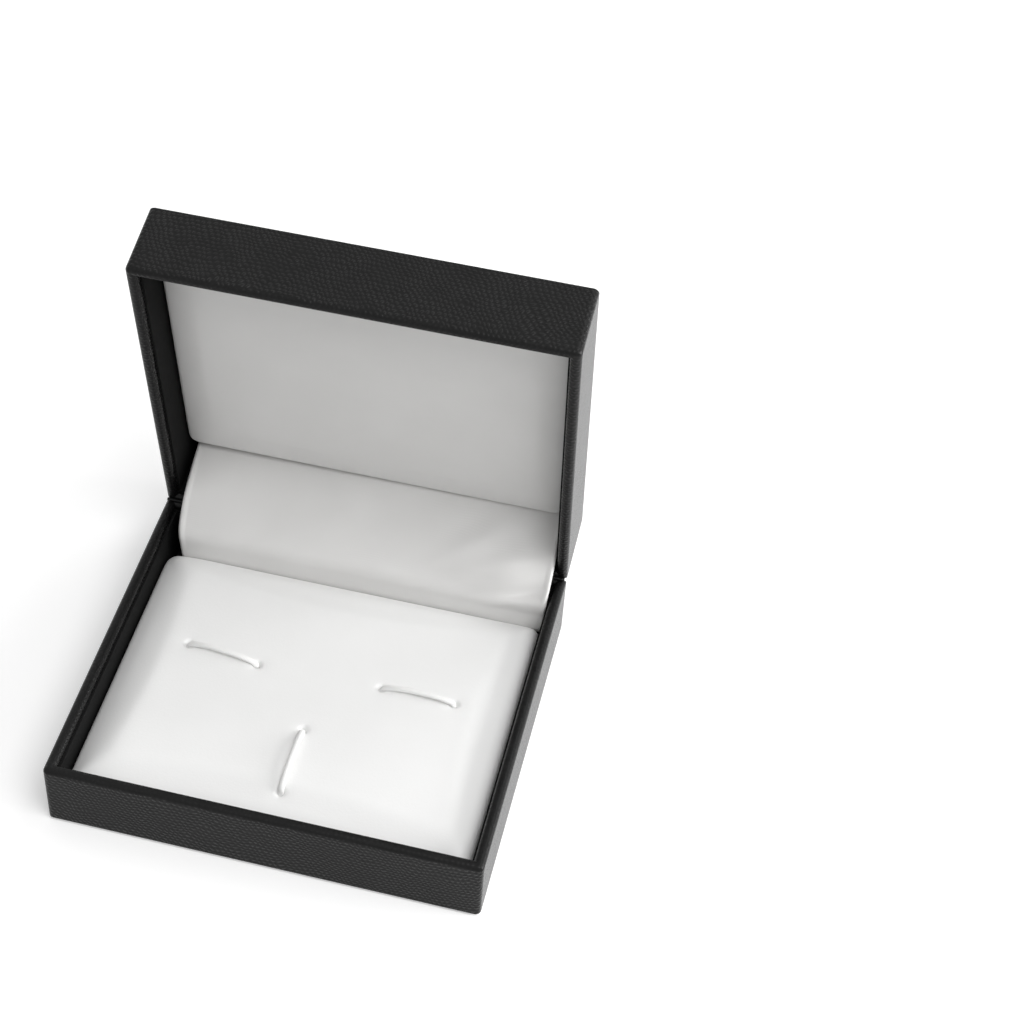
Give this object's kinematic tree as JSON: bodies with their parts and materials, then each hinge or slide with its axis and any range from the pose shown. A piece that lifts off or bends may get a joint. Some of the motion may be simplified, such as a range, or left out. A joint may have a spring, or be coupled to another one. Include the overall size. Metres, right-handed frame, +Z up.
{
  "type": "hinged cufflink display box",
  "caption": "Hinged display box in black embossed leatherette, open, with a white pad, elastic loops for cufflinks and a tie clip, a satin lid panel and a spring hinge.",
  "frame": {"origin": "centre of the underside sheet, on the surface that the box stands on", "axes": "+X to the right seen from the front, +Y towards the hinge, +Z up"},
  "size_m": [0.1, 0.105, 0.1063],
  "materials": {
    "shell_plastic": "moulded matt",
    "leatherette": "embossed small-scale grain",
    "liner_paper": "smooth",
    "felt_sheet": "felt",
    "card": "grey board",
    "foam": "open-cell foam",
    "white_leatherette": "soft matt",
    "satin": "satin",
    "elastic_cord": "woven elastic",
    "hinge_steel": "plated",
    "spring_steel": "blued"
  },
  "bodies": {
    "base": {"base_shell": "shell_plastic", "base_wrap": "leatherette", "spine_strip": "leatherette", "base_liner": "liner_paper", "underside_sheet": "felt_sheet", "pad_board": "card", "pad_foam": "foam", "pad_cover": "white_leatherette", "hinge_cover": "satin", "cufflink_loop_left": "elastic_cord", "cufflink_loop_right": "elastic_cord", "tie_clip_loop": "elastic_cord", "base_hinge_leaf": "hinge_steel", "hinge_pin": "hinge_steel", "base_leaf_rivets": "hinge_steel", "snap_spring": "spring_steel"},
    "lid": {"lid_shell": "shell_plastic", "lid_wrap": "leatherette", "lid_liner": "liner_paper", "lid_panel_board": "card", "lid_panel_foam": "foam", "lid_panel_satin": "satin", "lid_hinge_leaf": "hinge_steel", "lid_leaf_rivets": "hinge_steel"}
  },
  "joints": [
    {"name": "lid_hinge", "type": "hinge", "parent": "base", "child": "lid", "pos_m": [0, 0.0424, 0.01805], "axis": [1, 0, 0], "range_deg": [0, 80], "deforming": ["snap_spring", "spine_strip", "hinge_cover"]}
  ]
}
